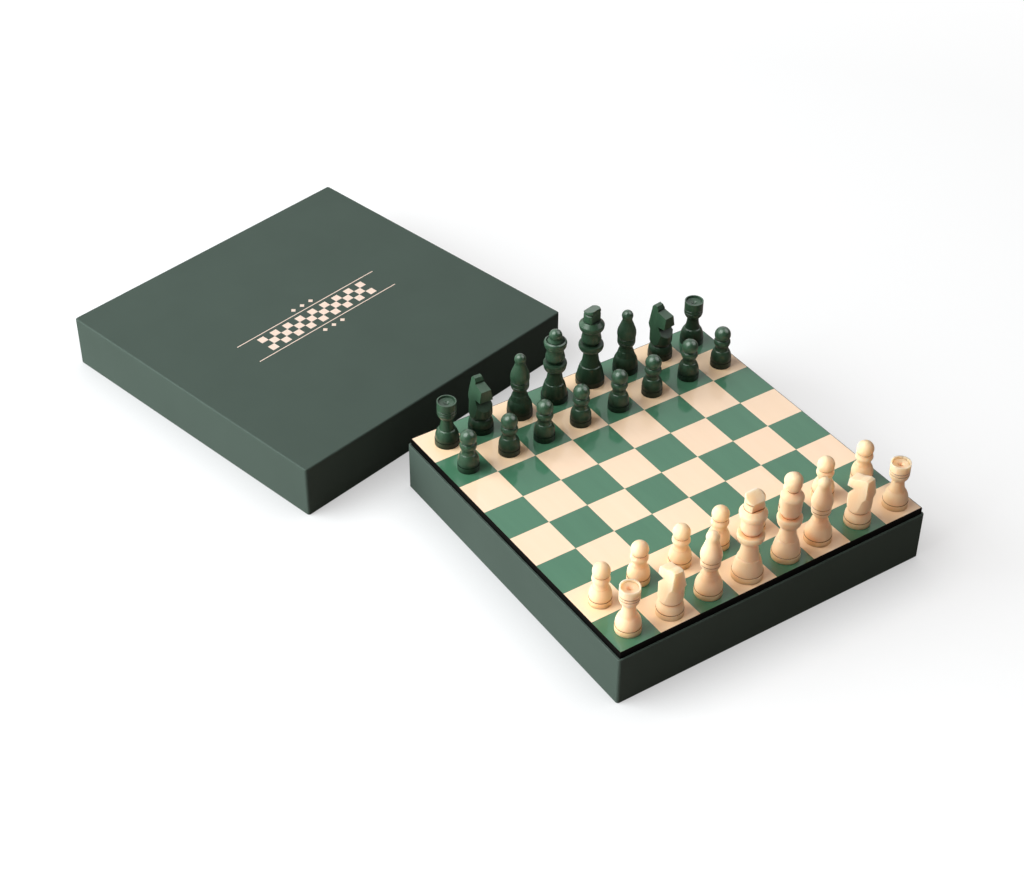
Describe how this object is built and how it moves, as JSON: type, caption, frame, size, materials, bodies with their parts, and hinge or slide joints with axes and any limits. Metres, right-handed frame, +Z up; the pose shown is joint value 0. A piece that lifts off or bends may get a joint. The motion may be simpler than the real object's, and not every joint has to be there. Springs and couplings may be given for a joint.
{
  "type": "boxed chess set",
  "caption": "Chess board on a shallow storage box, set up with turned wooden men in green and natural wood, with the box's lid laid open side down beside it.",
  "frame": {"origin": "middle of the storage box's underside, on the table", "axes": "+X along the ranks from file a to file h, +Y from the natural men's side to the green men's side, +Z up"},
  "size_m": [0.3993, 0.5917, 0.116],
  "materials": {
    "box_paper": "matt",
    "lining_paper": "matt",
    "black_card": "matt",
    "black_edge": "satin lacquer",
    "green_veneer": "gloss lacquer",
    "light_veneer": "gloss lacquer",
    "green_lacquer": "gloss lacquer",
    "natural_wood": "clear varnish"
  },
  "bodies": {
    "box": {"base_tray": "box_paper", "base_floor_lining": "lining_paper", "inner_collar": "black_card", "centre_divider": "black_card"},
    "board": {"board_core": "black_edge", "board_backing": "lining_paper", "green_squares": "green_veneer", "light_squares": "light_veneer"},
    "lid": {"lid_shell": "box_paper", "lid_lining": "lining_paper"},
    "natural_rook_a": {"natural_rook_a": "natural_wood"},
    "natural_knight_b": {"natural_knight_b": "natural_wood"},
    "natural_bishop_c": {"natural_bishop_c": "natural_wood"},
    "natural_king": {"natural_king": "natural_wood"},
    "natural_queen": {"natural_queen": "natural_wood"},
    "natural_bishop_f": {"natural_bishop_f": "natural_wood"},
    "natural_knight_g": {"natural_knight_g": "natural_wood"},
    "natural_rook_h": {"natural_rook_h": "natural_wood"},
    "natural_pawn_a": {"natural_pawn_a": "natural_wood"},
    "natural_pawn_b": {"natural_pawn_b": "natural_wood"},
    "natural_pawn_c": {"natural_pawn_c": "natural_wood"},
    "natural_pawn_d": {"natural_pawn_d": "natural_wood"},
    "natural_pawn_e": {"natural_pawn_e": "natural_wood"},
    "natural_pawn_f": {"natural_pawn_f": "natural_wood"},
    "natural_pawn_g": {"natural_pawn_g": "natural_wood"},
    "natural_pawn_h": {"natural_pawn_h": "natural_wood"},
    "green_rook_a": {"green_rook_a": "green_lacquer"},
    "green_knight_b": {"green_knight_b": "green_lacquer"},
    "green_bishop_c": {"green_bishop_c": "green_lacquer"},
    "green_queen": {"green_queen": "green_lacquer"},
    "green_king": {"green_king": "green_lacquer"},
    "green_bishop_f": {"green_bishop_f": "green_lacquer"},
    "green_knight_g": {"green_knight_g": "green_lacquer"},
    "green_rook_h": {"green_rook_h": "green_lacquer"},
    "green_pawn_a": {"green_pawn_a": "green_lacquer"},
    "green_pawn_b": {"green_pawn_b": "green_lacquer"},
    "green_pawn_c": {"green_pawn_c": "green_lacquer"},
    "green_pawn_d": {"green_pawn_d": "green_lacquer"},
    "green_pawn_e": {"green_pawn_e": "green_lacquer"},
    "green_pawn_f": {"green_pawn_f": "green_lacquer"},
    "green_pawn_g": {"green_pawn_g": "green_lacquer"},
    "green_pawn_h": {"green_pawn_h": "green_lacquer"}
  },
  "joints": [
    {"name": "board_lift", "type": "slide", "parent": "box", "child": "board", "axis": [0, 0, 1], "range_m": [0, 0.12]},
    {"name": "lid_lift", "type": "slide", "parent": "box", "child": "lid", "axis": [0, 0, 1], "range_m": [0, 0.1]},
    {"name": "natural_rook_a_lift", "type": "slide", "parent": "board", "child": "natural_rook_a", "axis": [0, 0, 1], "range_m": [0, 0.09]},
    {"name": "natural_knight_b_lift", "type": "slide", "parent": "board", "child": "natural_knight_b", "axis": [0, 0, 1], "range_m": [0, 0.09]},
    {"name": "natural_bishop_c_lift", "type": "slide", "parent": "board", "child": "natural_bishop_c", "axis": [0, 0, 1], "range_m": [0, 0.09]},
    {"name": "natural_king_lift", "type": "slide", "parent": "board", "child": "natural_king", "axis": [0, 0, 1], "range_m": [0, 0.09]},
    {"name": "natural_queen_lift", "type": "slide", "parent": "board", "child": "natural_queen", "axis": [0, 0, 1], "range_m": [0, 0.09]},
    {"name": "natural_bishop_f_lift", "type": "slide", "parent": "board", "child": "natural_bishop_f", "axis": [0, 0, 1], "range_m": [0, 0.09]},
    {"name": "natural_knight_g_lift", "type": "slide", "parent": "board", "child": "natural_knight_g", "axis": [0, 0, 1], "range_m": [0, 0.09]},
    {"name": "natural_rook_h_lift", "type": "slide", "parent": "board", "child": "natural_rook_h", "axis": [0, 0, 1], "range_m": [0, 0.09]},
    {"name": "natural_pawn_a_lift", "type": "slide", "parent": "board", "child": "natural_pawn_a", "axis": [0, 0, 1], "range_m": [0, 0.09]},
    {"name": "natural_pawn_b_lift", "type": "slide", "parent": "board", "child": "natural_pawn_b", "axis": [0, 0, 1], "range_m": [0, 0.09]},
    {"name": "natural_pawn_c_lift", "type": "slide", "parent": "board", "child": "natural_pawn_c", "axis": [0, 0, 1], "range_m": [0, 0.09]},
    {"name": "natural_pawn_d_lift", "type": "slide", "parent": "board", "child": "natural_pawn_d", "axis": [0, 0, 1], "range_m": [0, 0.09]},
    {"name": "natural_pawn_e_lift", "type": "slide", "parent": "board", "child": "natural_pawn_e", "axis": [0, 0, 1], "range_m": [0, 0.09]},
    {"name": "natural_pawn_f_lift", "type": "slide", "parent": "board", "child": "natural_pawn_f", "axis": [0, 0, 1], "range_m": [0, 0.09]},
    {"name": "natural_pawn_g_lift", "type": "slide", "parent": "board", "child": "natural_pawn_g", "axis": [0, 0, 1], "range_m": [0, 0.09]},
    {"name": "natural_pawn_h_lift", "type": "slide", "parent": "board", "child": "natural_pawn_h", "axis": [0, 0, 1], "range_m": [0, 0.09]},
    {"name": "green_rook_a_lift", "type": "slide", "parent": "board", "child": "green_rook_a", "axis": [0, 0, 1], "range_m": [0, 0.09]},
    {"name": "green_knight_b_lift", "type": "slide", "parent": "board", "child": "green_knight_b", "axis": [0, 0, 1], "range_m": [0, 0.09]},
    {"name": "green_bishop_c_lift", "type": "slide", "parent": "board", "child": "green_bishop_c", "axis": [0, 0, 1], "range_m": [0, 0.09]},
    {"name": "green_queen_lift", "type": "slide", "parent": "board", "child": "green_queen", "axis": [0, 0, 1], "range_m": [0, 0.09]},
    {"name": "green_king_lift", "type": "slide", "parent": "board", "child": "green_king", "axis": [0, 0, 1], "range_m": [0, 0.09]},
    {"name": "green_bishop_f_lift", "type": "slide", "parent": "board", "child": "green_bishop_f", "axis": [0, 0, 1], "range_m": [0, 0.09]},
    {"name": "green_knight_g_lift", "type": "slide", "parent": "board", "child": "green_knight_g", "axis": [0, 0, 1], "range_m": [0, 0.09]},
    {"name": "green_rook_h_lift", "type": "slide", "parent": "board", "child": "green_rook_h", "axis": [0, 0, 1], "range_m": [0, 0.09]},
    {"name": "green_pawn_a_lift", "type": "slide", "parent": "board", "child": "green_pawn_a", "axis": [0, 0, 1], "range_m": [0, 0.09]},
    {"name": "green_pawn_b_lift", "type": "slide", "parent": "board", "child": "green_pawn_b", "axis": [0, 0, 1], "range_m": [0, 0.09]},
    {"name": "green_pawn_c_lift", "type": "slide", "parent": "board", "child": "green_pawn_c", "axis": [0, 0, 1], "range_m": [0, 0.09]},
    {"name": "green_pawn_d_lift", "type": "slide", "parent": "board", "child": "green_pawn_d", "axis": [0, 0, 1], "range_m": [0, 0.09]},
    {"name": "green_pawn_e_lift", "type": "slide", "parent": "board", "child": "green_pawn_e", "axis": [0, 0, 1], "range_m": [0, 0.09]},
    {"name": "green_pawn_f_lift", "type": "slide", "parent": "board", "child": "green_pawn_f", "axis": [0, 0, 1], "range_m": [0, 0.09]},
    {"name": "green_pawn_g_lift", "type": "slide", "parent": "board", "child": "green_pawn_g", "axis": [0, 0, 1], "range_m": [0, 0.09]},
    {"name": "green_pawn_h_lift", "type": "slide", "parent": "board", "child": "green_pawn_h", "axis": [0, 0, 1], "range_m": [0, 0.09]}
  ]
}
